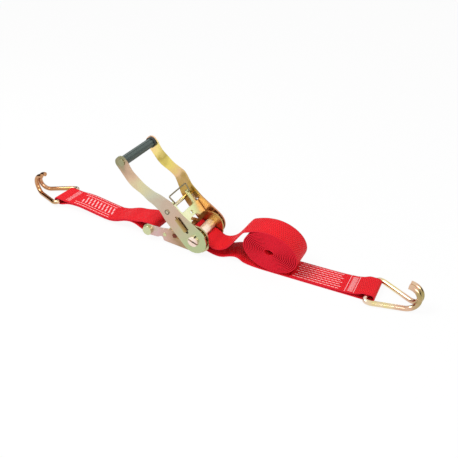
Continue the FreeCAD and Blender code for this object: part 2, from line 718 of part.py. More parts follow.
def releaseWire():
    """Finger wire over the pawl arms, with its ends set in their holes."""
    reach = d["pullReach"]
    side = inside - 1.0
    wide = d["pullHalf"]
    foot = d["drivePawlTop"] - 5
    low = -d["pawlThick"] / 2
    points = [(foot, -side, low), (foot, -side, 6), (reach, -wide, 6), (reach, wide, 6),
              (foot, side, 6), (foot, side, low)]
    wire = pipe(points, [0, 2.4, 2.4, 2.4, 2.4, 0], d["pullWire"])
    wire.rotate(V(0, 0, 0), V(1, 0, 0), 180)
    wire.rotate(V(0, 0, 0), V(0, 1, 0), -drivePawlAngle)
    wire.translate(V(d["mandrelX"], 0, d["mandrelZ"]))
    return wire


fixedShape("release_wire", releaseWire())


def hookShape():
    """Double J hook: back bar, two arms that close in, and two curls side by side."""
    half = d["hookHalf"]
    reach = d["hookReach"]
    curl = d["hookCurl"]
    pair = d["hookPair"]
    wide = d["hookShoulder"]
    points = [(0, 0, 0), (0, half, 0), (wide, half, 0), (reach + curl, d["hookFoot"], 0),
              (reach + curl, pair, 2 * curl), (reach - d["hookTip"], pair, 2 * curl)]
    radii = [0, d["hookBend"], d["hookRound"], curl * 0.999, curl * 0.999, 0]
    one = pipe(points, radii, d["hookWire"])
    other = one.mirror(V(0, 0, 0), V(0, 1, 0))
    return one.fuse(other).removeSplitter()


def hook(label, place):
    obj = doc.addObject("Part::Feature", label)
    obj.Label = label
    obj.Shape = hookShape()
    obj.Placement = place
    parts.append(obj)
    return obj


rightTurn = FreeCAD.Rotation(V(0, 0, 1), d["rightYaw"]) * FreeCAD.Rotation(V(0, 1, 0), d["rightPitch"])
rightPlace = V(d["rightBar"], 0, d["rightBarRise"]) + rightTurn.multVec(V(0, d["rightShift"], 0))
hook("hook_right", FreeCAD.Placement(rightPlace, rightTurn))
strapFrame = FreeCAD.Rotation(V(0, 0, 1), -d["strapYaw"])
leftPlace = strapFrame.multVec(V(d["leftBar"], 0, 0)) + V(boltX, 0, d["leftBarRise"])
leftTurn = (strapFrame * FreeCAD.Rotation(V(0, 0, 1), 180 + d["leftYaw"])
            * FreeCAD.Rotation(V(0, 1, 0), d["leftPitch"]))
leftPlace = leftPlace + leftTurn.multVec(V(0, d["leftShift"], 0))
hook("hook_left", FreeCAD.Placement(leftPlace, leftTurn))

flat = d["webThick"] / 2
ply = d["webThick"] + d["plyGap"]


def webbing(label, path, radii):
    """Band of webbing standing on edge across the buckle."""
    body = newBody(label)
    pad(body, "XZ", label + "Band", ribbon(path, radii, d["webThick"]), "dims.webWidth")
    return body


def slotPoint(side, gap):
    """End of the webbing in the mandrel slot, outside the turning mandrel."""
    x, z = polar(d["mandrelRadius"] + gap, -d["slotAngle"])
    return (d["mandrelX"] + side * x, d["mandrelZ"] + side * z)


slotRight = slotPoint(1, 0.75)
slotLeft = slotPoint(-1, 0.75)
mx = d["mandrelX"]
mz = d["mandrelZ"]


def longStrap():
    """Floor run from the sewn flap round the hook bar to the back of the mandrel."""
    bar = d["rightBar"]
    end = bar + d["loopPlay"] + loopRadius
    inner = bar - d["loopPlay"] - 2.0
    low = flat
    high = low + 2 * loopRadius
    path = [(d["flapEnd"], low + ply), (inner - 20, low + ply), (inner, high), (end, high), (end, low),
            (mx + 180, low), (mx + 96, low), (mx + 81, low + 11.5), (mx + 66, low + 9),
            (mx + 48, low + 0.6), (mx + 30, low + 2.0), (mx + 13, low + 8.2), (mx - 6, low + 12.0),
            (mx - 19, low + 20), (mx - 19.5, mz + 6.8), slotLeft]
    radii = easy(path, 0.42)
    radii[3] = loopRadius * 0.999
    radii[4] = loopRadius * 0.999
    radii[1] = 30.0
    radii[2] = 14.0
    return finish(webbing("long_strap", path, radii))


longStrap()
tail = [slotRight, (mx + 22, mz - 8.5), (mx + 31, mz - 15.5), (mx + 45, mz - 14.5), (mx + 62, mz - 4),
        (mx + 84, mz + 28), (mx + 92, mz + 36), (mx + 106, mz + 42.0), (mx + 122, mz + 47.3),
        (mx + 134, mz + 47.6)]
finish(webbing("strap_tail", tail, easy(tail, 0.42)))

wrap = newBody("strap_wrap")
pad(wrap, "XZ", "WrapBand", box2(-d["mandrelRadius"] - 0.3, -flat, d["mandrelRadius"] + 0.3, flat),
    "dims.webWidth")
finish(wrap, angle="dims.slotAngle", **onMandrel)

coilZ = (d["webThick"] + d["softGap"]
         + math.hypot(d["coilLong"] * math.sin(math.radians(d["coilTilt"])),
                      d["coilShort"] * math.cos(math.radians(d["coilTilt"]))))
coil = newBody("strap_coil")
lean = V(-math.cos(math.radians(d["coilTilt"])), math.sin(math.radians(d["coilTilt"])), 0)


def oval(longHalf, shortHalf):
    centre = V(0, 0, 0)
    upright = V(lean.y, -lean.x, 0)
    return Part.Ellipse(lean * longHalf, upright * shortHalf, centre)


pad(coil, "XZ", "CoilRoll", [oval(d["coilLong"], d["coilShort"]), oval(d["coilEye"], d["coilEyeHigh"])],
    "dims.webWidth")
coil.Placement = FreeCAD.Placement(V(0, 0, coilZ), FreeCAD.Rotation())
coil.setExpression("Placement.Base.x", "dims.coilX")
parts.append(coil)


def shortStrap():
    """Two plies sewn together, open as a loop at the end bolt and at the hook bar."""
    bz = boltZ
    big = d["sleeveRadius"] + 2.2 + flat
    barZ = d["leftBarRise"]
    bar = d["leftBar"]
    end = bar - d["loopPlay"] - loopRadius
    inner = bar + d["loopPlay"] + 2.0
    line = [(inner + 18, barZ + 3.0), (bar + 52, barZ + 5.2), (bar + 78, barZ + 2.5), (bar + 111, barZ - 1.6),
            (bar + 133, barZ - 3.4), (bar + 151, barZ - 0.4), (-58, bz + 0.5), (-36, bz + 2.6)]
    upper = shifted(line, ply / 2)
    lower = shifted(line, -ply / 2)
    cut = 4
    path = [lower[cut]] + lower[cut + 1:]
    path += [(-14, bz - big), (big, bz - big), (big, bz + big), (-14, bz + big)]
    path += upper[::-1]
    path += [(inner, barZ + loopRadius), (end, barZ + loopRadius), (end, barZ - loopRadius),
             (inner, barZ - loopRadius)]
    start = (lower[cut][0] - 0.3, lower[cut][1] + 0.05)
    path += lower[:cut] + [start]
    radii = easy(path, 0.42)
    for i, p in enumerate(path):
        if abs(p[0] - big) < 1e-6:
            radii[i] = big * 0.999
        if abs(p[0] - end) < 1e-6:
            radii[i] = loopRadius * 0.999
    return webbing("short_strap", path, radii)


short = shortStrap()
short.Placement = FreeCAD.Placement(V(boltX, 0, 0), strapFrame)
parts.append(short)

doc.recompute()
failed = []
for obj in doc.Objects:
    if any(state in obj.State for state in ("Invalid", "Error")):
        failed.append(obj.Label + " " + str(obj.State))
for obj in parts:
    if obj.Shape.isNull() or not obj.Shape.isValid() or not obj.Shape.Solids:
        failed.append(obj.Label + " has no valid solid")
if failed:
    raise ValueError("; ".join(failed))

os.makedirs("parts", exist_ok=True)
for obj in parts:
    obj.Shape.exportStep("parts/" + obj.Label + ".step")
    print(obj.Label, len(obj.Shape.Solids), round(obj.Shape.Volume, 1))
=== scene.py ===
# Ratchet strap: webbing, stitching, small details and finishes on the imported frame.
import json
import math

import bmesh
import bpy
from mathutils import Matrix, Vector


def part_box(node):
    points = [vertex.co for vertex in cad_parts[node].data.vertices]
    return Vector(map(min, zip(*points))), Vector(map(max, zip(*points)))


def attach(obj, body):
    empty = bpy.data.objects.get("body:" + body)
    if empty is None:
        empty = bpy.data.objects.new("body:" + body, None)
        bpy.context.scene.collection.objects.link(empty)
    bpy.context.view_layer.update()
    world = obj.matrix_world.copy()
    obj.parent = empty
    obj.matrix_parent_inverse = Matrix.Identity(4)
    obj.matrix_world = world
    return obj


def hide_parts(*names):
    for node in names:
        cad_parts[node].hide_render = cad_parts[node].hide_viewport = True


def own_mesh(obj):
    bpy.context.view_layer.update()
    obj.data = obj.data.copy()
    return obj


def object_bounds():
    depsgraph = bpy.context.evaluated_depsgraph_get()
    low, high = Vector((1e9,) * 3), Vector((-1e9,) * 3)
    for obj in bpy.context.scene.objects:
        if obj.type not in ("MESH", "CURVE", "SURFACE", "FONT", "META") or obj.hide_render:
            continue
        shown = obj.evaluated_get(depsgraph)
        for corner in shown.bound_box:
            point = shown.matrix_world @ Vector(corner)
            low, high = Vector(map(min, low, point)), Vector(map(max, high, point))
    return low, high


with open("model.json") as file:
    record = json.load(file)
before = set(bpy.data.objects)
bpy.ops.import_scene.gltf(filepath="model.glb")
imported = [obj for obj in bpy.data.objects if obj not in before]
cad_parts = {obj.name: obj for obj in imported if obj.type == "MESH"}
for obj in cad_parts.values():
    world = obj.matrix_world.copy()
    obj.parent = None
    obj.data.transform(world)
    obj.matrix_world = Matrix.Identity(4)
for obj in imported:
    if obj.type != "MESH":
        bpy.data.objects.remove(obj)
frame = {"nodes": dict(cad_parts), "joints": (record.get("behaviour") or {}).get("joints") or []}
nodes = frame["nodes"]
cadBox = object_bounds()
joints = {j["name"]: j for j in frame["joints"]}
mm = 0.001
scene = bpy.context.scene


def hinge(name):
    return Vector(joints[name]["pos_m"]) / mm


def nodeBox(name):
    low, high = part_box(name)
    return low / mm, high / mm


def tone(red, green, blue):
    # A display colour from 0 to 255 as the linear colour that a shader takes.
    values = []
    for part in (red, green, blue):
        c = part / 255
        values.append(c / 12.92 if c < 0.04045 else ((c + 0.055) / 1.055) ** 2.4)
    return (*values, 1.0)


cameraSizes = {"azimuth": 26.6, "elevation": 33.1, "lens": 45.04, "place": (448.2, -771.8, 611.86)}


def addCamera():
    data = bpy.data.cameras.new("camera")
    data.lens = cameraSizes["lens"]
    data.sensor_width = 36
    camera = bpy.data.objects.new("camera", data)
    scene.collection.objects.link(camera)
    a = math.radians(cameraSizes["azimuth"])
    e = math.radians(cameraSizes["elevation"])
    back = Vector((math.sin(a) * math.cos(e), -math.cos(a) * math.cos(e), math.sin(e)))
    camera.location = Vector(cameraSizes["place"]) * mm
    camera.rotation_euler = (-back).to_track_quat("-Z", "Y").to_euler()
    scene.camera = camera


addCamera()
print("camera done")


# Short ways to build shader trees.

def add(tree, kind, inputs=None, **settings):
    node = tree.nodes.new(kind)
    for key, value in settings.items():
        setattr(node, key, value)
    for key, value in (inputs or {}).items():
        if isinstance(value, bpy.types.NodeSocket):
            tree.links.new(value, node.inputs[key])
        else:
            node.inputs[key].default_value = value
    return node


def calc(tree, operation, a, b=0.0, c=0.0):
    return add(tree, "ShaderNodeMath", {0: a, 1: b, 2: c}, operation=operation).outputs[0]


def rise(tree, value, low, high, first=0.0, last=1.0):
    return add(tree, "ShaderNodeMapRange", {0: value, 1: low, 2: high, 3: first, 4: last}).outputs[0]


def blendColors(tree, mode, share, a, b):
    node = add(tree, "ShaderNodeMix", data_type="RGBA", blend_type=mode)
    for socket, value in (("Factor_Float", share), ("A_Color", a), ("B_Color", b)):
        target = next(s for s in node.inputs if s.identifier == socket)
        if isinstance(value, bpy.types.NodeSocket):
            tree.links.new(value, target)
        else:
            target.default_value = value
    return next(s for s in node.outputs if s.identifier == "Result_Color")


def newGroup(name, inputs, outputs):
    tree = bpy.data.node_groups.new(name, "ShaderNodeTree")
    for label, kind, value in inputs:
        socket = tree.interface.new_socket(label, in_out="INPUT", socket_type=kind)
        if value is not None:
            socket.default_value = value
    for label, kind in outputs:
        tree.interface.new_socket(label, in_out="OUTPUT", socket_type=kind)
    return tree, tree.nodes.new("NodeGroupInput"), tree.nodes.new("NodeGroupOutput")


def useGroup(tree, group, inputs=None):
    return add(tree, "ShaderNodeGroup", inputs, node_tree=group)


weaveSizes = {"column": 0.0044, "pitch": 0.0038, "depth": 0.0004, "half": 0.025,
              "edge": (0.0238, 0.0247), "flank": (0.0232, 0.024), "crest": (0.0243, 0.0249)}


def weaveGroup():
    # Herringbone columns along the band; the UV map is in metres, along and across.
    tree, given, result = newGroup(
        "weave",
        [("Vector", "NodeSocketVector", None), ("Column", "NodeSocketFloat", weaveSizes["column"]),
         ("Pitch", "NodeSocketFloat", weaveSizes["pitch"]),
         ("Depth", "NodeSocketFloat", weaveSizes["depth"])],
        [("Height", "NodeSocketFloat"), ("Edge", "NodeSocketFloat"), ("SelvedgeLine", "NodeSocketFloat"),
         ("Normal", "NodeSocketVector")])
    parts = add(tree, "ShaderNodeSeparateXYZ", {0: given.outputs["Vector"]})
    column = calc(tree, "DIVIDE", parts.outputs[1], given.outputs["Column"])
    within = calc(tree, "FRACT", column)
    side = calc(tree, "PINGPONG", calc(tree, "FLOOR", column), 1.0)
    lean = calc(tree, "MULTIPLY_ADD", side, 2.0, -1.0)
    along = calc(tree, "DIVIDE", parts.outputs[0], given.outputs["Pitch"])
    phase = calc(tree, "MULTIPLY_ADD", calc(tree, "SUBTRACT", within, 0.5), lean, along)
    ridge = calc(tree, "SINE", calc(tree, "MULTIPLY", phase, 2 * math.pi))
    rib = calc(tree, "SINE", calc(tree, "MULTIPLY", within, math.pi))
    height = calc(tree, "ADD", calc(tree, "MULTIPLY_ADD", ridge, 0.3, 0.3),
                  calc(tree, "MULTIPLY", rib, 0.4))
    fromMiddle = calc(tree, "ABSOLUTE", calc(tree, "SUBTRACT", parts.outputs[1], weaveSizes["half"]))
    edge = rise(tree, fromMiddle, *weaveSizes["edge"])
    bump = add(tree, "ShaderNodeBump", {"Strength": 0.85, "Distance": given.outputs["Depth"],
                                        "Height": height})
    tree.links.new(height, result.inputs["Height"])
    tree.links.new(edge, result.inputs["Edge"])
    flank = rise(tree, fromMiddle, *weaveSizes["flank"])
    crest = rise(tree, fromMiddle, *weaveSizes["crest"], 1.0, 0.0)
    tree.links.new(calc(tree, "MULTIPLY", flank, crest), result.inputs["SelvedgeLine"])
    tree.links.new(bump.outputs[0], result.inputs["Normal"])
    return tree


def grainGroup():
    # Fine unevenness of a finish: a value about 0.5 and a bumped normal.
    tree, given, result = newGroup(
        "grain",
        [("Vector", "NodeSocketVector", None), ("Scale", "NodeSocketFloat", 300.0),
         ("Depth", "NodeSocketFloat", 0.0001), ("Normal", "NodeSocketVector", None)],
        [("Value", "NodeSocketFloat"), ("Normal", "NodeSocketVector")])
    noise = add(tree, "ShaderNodeTexNoise", {"Vector": given.outputs["Vector"],
                                             "Scale": given.outputs["Scale"], "Detail": 4.0})
    bump = add(tree, "ShaderNodeBump", {"Strength": 0.3, "Distance": given.outputs["Depth"],
                                        "Height": noise.outputs[0], "Normal": given.outputs["Normal"]})
    tree.links.new(noise.outputs[0], result.inputs["Value"])
    tree.links.new(bump.outputs[0], result.inputs["Normal"])
    return tree


def edgeGroup():
    # Edges eased by a small radius, and a patchy mask along them.
    tree, given, result = newGroup(
        "eased_edge_mask",
        [("Radius", "NodeSocketFloat", 0.0005), ("Vector", "NodeSocketVector", None)],
        [("Mask", "NodeSocketFloat"), ("Normal", "NodeSocketVector")])
    eased = add(tree, "ShaderNodeBevel", {"Radius": given.outputs["Radius"]}, samples=4)
    shape = add(tree, "ShaderNodeNewGeometry")
    likeness = add(tree, "ShaderNodeVectorMath", {0: eased.outputs[0], 1: shape.outputs["True Normal"]},
                   operation="DOT_PRODUCT")
    bent = rise(tree, likeness.outputs["Value"], 0.995, 0.88)
    noise = add(tree, "ShaderNodeTexNoise", {"Vector": given.outputs["Vector"], "Scale": 160.0})
    patchy = rise(tree, noise.outputs[0], 0.4, 0.65, 0.15)
    tree.links.new(calc(tree, "MULTIPLY", bent, patchy), result.inputs["Mask"])
    tree.links.new(eased.outputs[0], result.inputs["Normal"])
    return tree


def cloudGroup():
    # Distance along a direction, pushed about by soft noise, for tints that wander over a surface.
    tree, given, result = newGroup(
        "tint_bands",
        [("Vector", "NodeSocketVector", None), ("Origin", "NodeSocketVector", None),
         ("Direction", "NodeSocketVector", None), ("Length", "NodeSocketFloat", 0.19),
         ("Wander", "NodeSocketFloat", 0.12)],
        [("Value", "NodeSocketFloat")])
    offset = add(tree, "ShaderNodeVectorMath", {0: given.outputs["Vector"], 1: given.outputs["Origin"]},
                 operation="SUBTRACT")
    far = add(tree, "ShaderNodeVectorMath", {0: offset.outputs[0], 1: given.outputs["Direction"]},
              operation="DOT_PRODUCT")
    share = calc(tree, "DIVIDE", far.outputs["Value"], given.outputs["Length"])
    noise = add(tree, "ShaderNodeTexNoise", {"Vector": given.outputs["Vector"], "Scale": 45.0,
                                             "Detail": 3.0})
    swing = calc(tree, "SUBTRACT", noise.outputs[0], 0.5)
    shift = calc(tree, "MULTIPLY", swing, given.outputs["Wander"])
    tree.links.new(calc(tree, "MULTIPLY_ADD", shift, 2.0, share), result.inputs["Value"])
    return tree


weave = weaveGroup()
grain = grainGroup()
edgeMaskGroup = edgeGroup()
tintBands = cloudGroup()


def newMaterial(name):
    material = bpy.data.materials.new(name)
    material.use_nodes = True
    tree = material.node_tree
    shader = tree.nodes["Principled BSDF"]
    return material, tree, shader


def ramp(tree, value, stops):
    node = add(tree, "ShaderNodeValToRGB", {0: value})
    elements = node.color_ramp.elements
    while len(elements) < len(stops):
        elements.new(0.5)
    for element, (place, color) in zip(elements, stops):
        element.position = place
        element.color = color
    return node.outputs[0]


# Dark olive laid on the edges of plated sheet parts: painted dark reflection.
darkEdgeReflection = tone(118, 112, 78)


def plated(name, stops, origin, direction=(1, 0, 0), length=0.2, wander=0.12, rough=0.3, sharp=True,
           metal=1.0):
    # Yellow passivated zinc: bands of tint along a direction; on sheet parts the edges are darkened as
    # painted dark reflection.
    material, tree, shader = newMaterial(name)
    place = add(tree, "ShaderNodeTexCoord").outputs["Object"]
    bands = useGroup(tree, tintBands, {"Vector": place, "Origin": origin, "Direction": direction,
                                       "Length": length, "Wander": wander})
    color = ramp(tree, bands.outputs[0], stops)
    fine = useGroup(tree, grain, {"Vector": place, "Scale": 700.0, "Depth": 0.000012})
    if sharp:
        edges = useGroup(tree, edgeMaskGroup, {"Vector": place})
        tree.links.new(edges.outputs["Normal"], fine.inputs["Normal"])
        # Painted dark reflection: the patchy edge mask darkens the edges.
        share = calc(tree, "MULTIPLY", edges.outputs["Mask"], 0.6)
        color = blendColors(tree, "MIX", share, color, darkEdgeReflection)
    tree.links.new(color, shader.inputs["Base Color"])
    shine = calc(tree, "MULTIPLY_ADD", fine.outputs["Value"], 0.1, rough - 0.05)
    tree.links.new(shine, shader.inputs["Roughness"])
    tree.links.new(fine.outputs["Normal"], shader.inputs["Normal"])
    shader.inputs["Metallic"].default_value = metal
    return material


def stopsOf(*pairs):
    return [(place, tone(*color)) for place, color in pairs]


mandrelAxis = hinge("mandrel_spin")
handleAngle = math.radians(135)
handleLean = Vector((math.cos(handleAngle), 0, math.sin(handleAngle)))

plates = {
    "handleNear": plated(
        "handle_near_plating",
        stopsOf((0.0, (186, 196, 150)), (0.12, (196, 190, 156)), (0.27, (208, 178, 156)),
                (0.42, (204, 184, 164)), (0.55, (206, 204, 180)), (0.68, (222, 212, 168)),
                (0.78, (222, 190, 160)), (0.88, (196, 164, 138)), (0.97, (148, 146, 112))),
        origin=mandrelAxis * mm, direction=handleLean, length=0.2),
    "handleFar": plated(
        "handle_far_plating",
        stopsOf((0.0, (206, 140, 104)), (0.2, (214, 156, 112)), (0.34, (172, 138, 64)),
                (0.46, (196, 162, 88)), (0.56, (232, 196, 146)), (0.68, (236, 218, 118)),
                (0.78, (190, 170, 88)), (0.86, (250, 228, 142)), (0.97, (250, 204, 164))),
        origin=mandrelAxis * mm, direction=handleLean, length=0.2),
    "frameNear": plated(
        "frame_near_plating",
        stopsOf((0.0, (190, 190, 150)), (0.14, (212, 178, 176)), (0.35, (206, 170, 152)),
                (0.55, (170, 140, 108)), (0.75, (190, 160, 124)), (1.0, (196, 182, 140))),
        origin=(-0.105, 0, 0), direction=(1, 0, 0), length=0.14, wander=0.3),
    "frameFar": plated(
        "frame_far_plating",
        stopsOf((0.0, (206, 190, 130)), (0.4, (190, 150, 96)), (0.7, (176, 126, 76)),
                (1.0, (196, 164, 96))),
        origin=(-0.105, 0, 0), direction=(1, 0, 0), length=0.14, wander=0.25),
    # The dark brown at both ends of the drive pawl, where it lies in the slots of the handle plates, is
    # painted shade.
    "pawl": plated(
        "pawl_plating",
        stopsOf((0.0, (140, 112, 58)), (0.1, (156, 128, 70)), (0.14, (236, 240, 186)),
                (0.4, (248, 250, 206)), (0.62, (230, 240, 176)), (0.84, (232, 230, 176)),
                (0.9, (170, 140, 84))),
        origin=(-0.05, -0.045, 0), direction=(0, 1, 0), length=0.09, wander=0.06, rough=0.36),
    # The pawl ear caps run from pale to dark brown across their thickness: painted shade on one side.
    "pawlEar": plated(
        "pawl_ear_shading",
        stopsOf((0.0, (196, 176, 118)), (0.55, (168, 136, 82)), (1.0, (120, 88, 52))),
        origin=(-0.0165, 0, 0.0556), direction=(0.77, 0, 0.64), length=0.0085, wander=0.3, rough=0.34),
    # The lock pawl ears are a dark red-brown, far darker than the lock pawl itself: painted shade in
    # the window of the near frame plate.
    "lockEar": plated(
        "lock_ear_shade",
        stopsOf((0.0, (150, 84, 66)), (1.0, (116, 62, 48))),
        origin=(-0.06, 0, 0), length=0.03, wander=0.4),
    "lockPawl": plated(
        "lock_pawl_plating",
        stopsOf((0.0, (196, 180, 134)), (0.5, (160, 120, 80)), (1.0, (186, 150, 92))),
        origin=(-0.06, 0, 0), length=0.08, wander=0.4),
    # The near-white middle of the mandrel is a painted highlight along its barrel, over gold plating
    # that shows at the ends.
    "mandrel": plated(
        "mandrel_plating_and_highlight",
        stopsOf((0.0, (226, 194, 182)), (0.15, (250, 234, 218)), (0.7, (250, 232, 206)),
                (1.0, (232, 200, 156))),
        origin=(0, -0.05, 0), direction=(0, 1, 0), length=0.1, wander=0.2, rough=0.26, metal=0.7),
    "wheel": plated(
        "wheel_plating",
        stopsOf((0.0, (206, 196, 140)), (0.5, (176, 136, 82)), (1.0, (206, 176, 104))),
        origin=(-0.015, 0, 0), length=0.05, wander=0.6),
    "small": plated(
        "small_part_plating",
        stopsOf((0.0, (206, 212, 168)), (0.5, (206, 204, 156)), (1.0, (190, 172, 140))),
        origin=(-0.11, 0, 0), length=0.13, wander=0.5, rough=0.26),
    "gripRod": plated(
        "grip_rod_plating",
        stopsOf((0.0, (160, 158, 124)), (0.5, (176, 166, 134)), (1.0, (168, 160, 128))),
        origin=(0, -0.05, 0), direction=(0, 1, 0), length=0.1, wander=0.5, rough=0.3),
    "stay": plated(
        "stay_plating",
        stopsOf((0.0, (188, 176, 156)), (0.15, (196, 186, 160)), (0.3, (222, 214, 184)),
                (1.0, (206, 194, 158))),
        origin=(0, -0.05, 0), direction=(0, 1, 0), length=0.1, wander=0.1, rough=0.2),
    # The left hook is copper-brown; the pale pink at both ends is painted highlight.
    "hookLeft": plated(
        "hook_left_plating_and_highlight",
        stopsOf((0.0, (214, 170, 140)), (0.2, (190, 138, 94)), (0.5, (188, 138, 96)),
                (0.75, (182, 138, 78)), (1.0, (222, 192, 170))),
        origin=(-0.412, 0, 0), length=0.092, wander=0.4, rough=0.16, sharp=False),
    "hookRight": plated(
        "hook_right_plating",
        stopsOf((0.0, (232, 206, 190)), (0.3, (226, 208, 150)), (0.55, (228, 206, 168)),
                (0.75, (216, 176, 150)), (1.0, (168, 152, 98))),
        origin=(0.32, 0, 0), length=0.092, wander=0.4, rough=0.16, sharp=False),
}


def steel(name, color, rough):
    material, tree, shader = newMaterial(name)
    place = add(tree, "ShaderNodeTexCoord").outputs["Object"]
    fine = useGroup(tree, grain, {"Vector": place, "Scale": 900.0, "Depth": 0.00004})
    dim = tone(*[c * 0.8 for c in color])
    shade = ramp(tree, fine.outputs["Value"], [(0.3, dim), (0.7, tone(*color))])
    tree.links.new(shade, shader.inputs["Base Color"])
    tree.links.new(fine.outputs["Normal"], shader.inputs["Normal"])
    shader.inputs["Metallic"].default_value = 1.0
    shader.inputs["Roughness"].default_value = rough
    return material


def moulded(name, low, high, rough):
    material, tree, shader = newMaterial(name)
    place = add(tree, "ShaderNodeTexCoord").outputs["Object"]
    edges = useGroup(tree, edgeMaskGroup, {"Vector": place, "Radius": 0.0003})
    fine = useGroup(tree, grain, {"Vector": place, "Scale": 500.0, "Depth": 0.0001,
                                  "Normal": edges.outputs["Normal"]})
    shade = ramp(tree, fine.outputs["Value"], [(0.35, tone(*low)), (0.65, tone(*high))])
    shade = blendColors(tree, "MIX", calc(tree, "MULTIPLY", edges.outputs["Mask"], 0.3), shade,
                        tone(*[min(255, c + 50) for c in high]))
    tree.links.new(shade, shader.inputs["Base Color"])
    tree.links.new(fine.outputs["Normal"], shader.inputs["Normal"])
    shader.inputs["Roughness"].default_value = rough
    shader.inputs["Specular IOR Level"].default_value = 0.5
    return material


wireSteel = steel("wire_steel", (150, 140, 112), 0.3)
springSteel = steel("spring_steel", (176, 172, 160), 0.28)
# Steel darkened as painted shade, for the spring pins at the mandrel ends and the rings round the stay
# ends.
shadedSteel = steel("steel_painted_shade", (96, 88, 78), 0.4)
gripPlastic = moulded("grip_plastic", (54, 65, 61), (70, 84, 79), 0.3)
collarPlastic = moulded("collar_plastic", (22, 26, 30), (34, 40, 42), 0.4)

finishes = {
    "handle_plate_near": plates["handleNear"], "handle_plate_far": plates["handleFar"],
    "frame_plate_near": plates["frameNear"], "frame_plate_far": plates["frameFar"],
    "drive_pawl": plates["pawl"], "lock_pawl": plates["lockPawl"],
    "mandrel_half_upper": plates["mandrel"], "mandrel_half_lower": plates["mandrel"],
    "ratchet_wheel_near": plates["wheel"], "ratchet_wheel_far": plates["wheel"],
    "end_bolt": plates["small"], "end_nut": plates["small"], "end_sleeve": plates["small"],
    "spring_bridge": plates["small"], "grip_rod": plates["gripRod"], "handle_stay": plates["stay"],
    "hook_left": plates["hookLeft"], "hook_right": plates["hookRight"],
    "release_wire": wireSteel, "drive_springs": springSteel, "lock_spring": springSteel,
    "spring_pins": shadedSteel, "grip_sleeve": gripPlastic, "grip_collar": collarPlastic,
}


def dressNodes():
    for name, material in finishes.items():
        slots = nodes[name].material_slots
        for slot in slots:
            slot.link = "OBJECT"
            slot.material = material


dressNodes()


def finishPiece(name, work, body, material, smooth=True):
    # The worked mesh as a piece of the scene, on its body and with its finish.
    bmesh.ops.recalc_face_normals(work, faces=work.faces)
    mesh = bpy.data.meshes.new(name)
    work.to_mesh(mesh)
    work.free()
    item = bpy.data.objects.new(name, mesh)
    scene.collection.objects.link(item)
    mesh.materials.append(material)
    mesh.polygons.foreach_set("use_smooth", [smooth] * len(mesh.polygons))
    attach(item, body)
    return item


pawlEar = {"angle": 129.5, "start": 21.5, "end": 50.5, "thick": 9.0, "inner": 40.35, "outer": 41.7,
           "ease": 0.5}
lockEar = {"angle": 189.5, "start": 28.0, "end": 50.0, "thick": 8.0, "clear": 0.15, "proud": 1.25,
           "ease": 0.5}
lockEar["inner"] = lockEar["clear"] - nodeBox("frame_plate_near")[0].y
lockEar["outer"] = lockEar["inner"] + lockEar["proud"]


def addCaps(name, cap, sides, body, material):
    # Caps on the ears of a pawl, which run along the slots of the plates beside it.
    a = math.radians(cap["angle"])
    along = Vector((math.cos(a), 0, math.sin(a)))
    across = Vector((-math.sin(a), 0, math.cos(a)))
    work = bmesh.new()
    for side in sides:
        deep = cap["outer"] - cap["inner"]
        middle = (mandrelAxis + along * (cap["start"] + cap["end"]) / 2
                  + Vector((0, side * (cap["inner"] + deep / 2), 0)))
        made = bmesh.ops.create_cube(work, size=1.0)
        for vert in made["verts"]:
            x, y, z = vert.co
            vert.co = (middle + along * x * (cap["end"] - cap["start"]) + across * z * cap["thick"]
                       + Vector((0, y * deep, 0))) * mm
    bmesh.ops.recalc_face_normals(work, faces=work.faces)
    bmesh.ops.bevel(work, geom=work.edges[:], offset=cap["ease"] * mm, segments=2, affect="EDGES")
    return finishPiece(name, work, body, material, smooth=False)


stayRing = {"reach": 70.0, "drop": 3.3, "inner": 3.0, "outer": 4.7, "face": 40.25, "high": 0.25,
            "lip": 0.3, "sunk": 0.1, "around": 32}


def addStayRings():
    # Dark rings round the riveted ends of the stay bar: painted shade round the rivet heads.
    below = Vector((-handleLean.z, 0, handleLean.x))
    centre = mandrelAxis + handleLean * stayRing["reach"] + below * stayRing["drop"]
    work = bmesh.new()
    count = stayRing["around"]
    high = stayRing["high"]
    outline = [(stayRing["inner"], 0.0), (stayRing["inner"] + stayRing["lip"], high),
               (stayRing["outer"] - stayRing["lip"], high), (stayRing["outer"], 0.0)]
    for side in (-1, 1):
        rings = []
        for radius, lift in outline:
            out = side * (stayRing["face"] + lift - stayRing["sunk"])
            ring = []
            for k in range(count):
                t = 2 * math.pi * k / count
                spot = centre + Vector((radius * math.cos(t), out, radius * math.sin(t)))
                ring.append(work.verts.new(spot * mm))
            rings.append(ring)
        for inner, outer in zip(rings, rings[1:] + rings[:1]):
            for k in range(count):
                n = (k + 1) % count
                work.faces.new((inner[k], inner[n], outer[n], outer[k]))
    return finishPiece("stay_rings", work, "handle", shadedSteel)


spring = {"radius": 2.9, "wire": 0.45, "turns": 6.5, "steps": 20, "around": 8, "travel": 6.0,
          "spare": 0.01}
driveSpring = {"angle": 129.5, "start": 51.05, "end": 66.95}
lockSpring = {"angle": 189.5, "start": 44.05, "end": 64.9}


